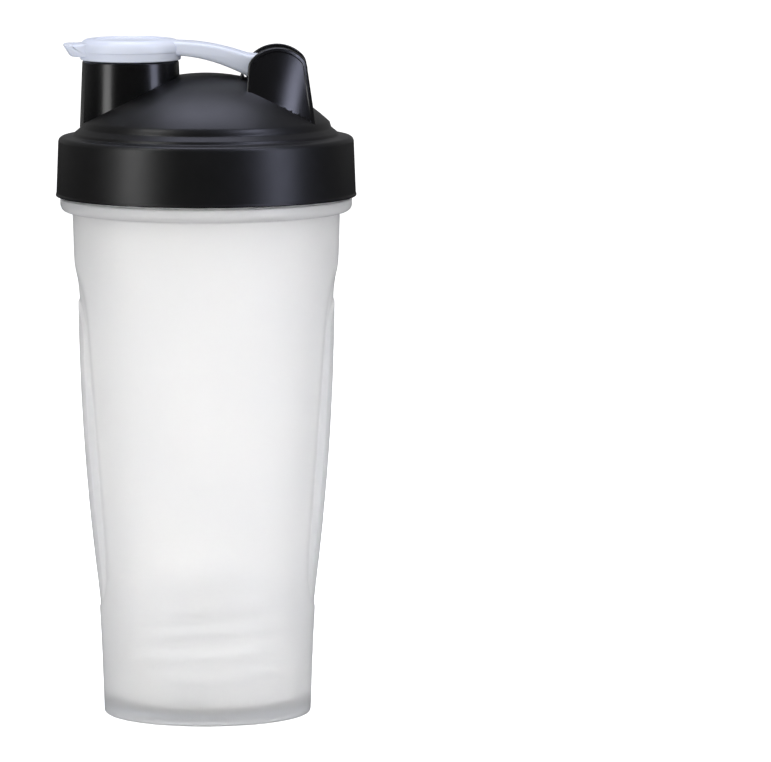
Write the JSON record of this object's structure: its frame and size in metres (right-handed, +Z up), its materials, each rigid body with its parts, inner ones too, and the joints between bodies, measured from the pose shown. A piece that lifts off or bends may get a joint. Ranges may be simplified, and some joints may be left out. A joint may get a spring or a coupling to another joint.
{
  "type": "protein shaker bottle",
  "caption": "Tapered frosted drinking cup with grip pads, a domed screw lid with a spout, a flip cap on a long hinged arm, and a loose wire mixing ball inside.",
  "frame": {"origin": "centre of the cup's foot, on the surface that it stands on", "axes": "+Z up along the cup's axis, -X towards the drinking spout, +X towards the flip cap's hinge, Y along the hinge axis"},
  "size_m": [0.0974, 0.0974, 0.2196],
  "materials": {
    "cup_plastic": "milky translucent polypropylene, lightly frosted outside",
    "lid_plastic": "black polypropylene, fine satin texture, polished on the spout and the ears",
    "gasket_silicone": "translucent silicone, matt",
    "cap_plastic": "cool white polypropylene, smooth moulded",
    "ball_wire": "drawn stainless steel wire, bright"
  },
  "bodies": {
    "cup": {"cup": "cup_plastic"},
    "gasket": {"lid_gasket": "gasket_silicone"},
    "lid": {"lid": "lid_plastic"},
    "cap": {"flip_cap": "cap_plastic"},
    "ball": {"whisk_ball": "ball_wire"}
  },
  "joints": [
    {"name": "lid_lift", "type": "slide", "parent": "cup", "child": "gasket", "axis": [0, 0, 1], "range_m": [0, 0.036]},
    {"name": "lid_turn", "type": "hinge", "parent": "gasket", "child": "lid", "pos_m": [0, 0, 0.1768], "axis": [0, 0, 1], "range_deg": [0, 1440]},
    {"name": "cap_flip", "type": "hinge", "parent": "lid", "child": "cap", "pos_m": [0.0231, 0, 0.2097], "axis": [0, 1, 0], "range_deg": [0, 190]},
    {"name": "ball_bounce", "type": "slide", "parent": "cup", "child": "ball", "axis": [0, 0, 1], "range_m": [0, 0.11]}
  ],
  "couplings": [
    {"joint": "lid_lift", "follows": "lid_turn", "m_per_rad": 0.0014324}
  ]
}
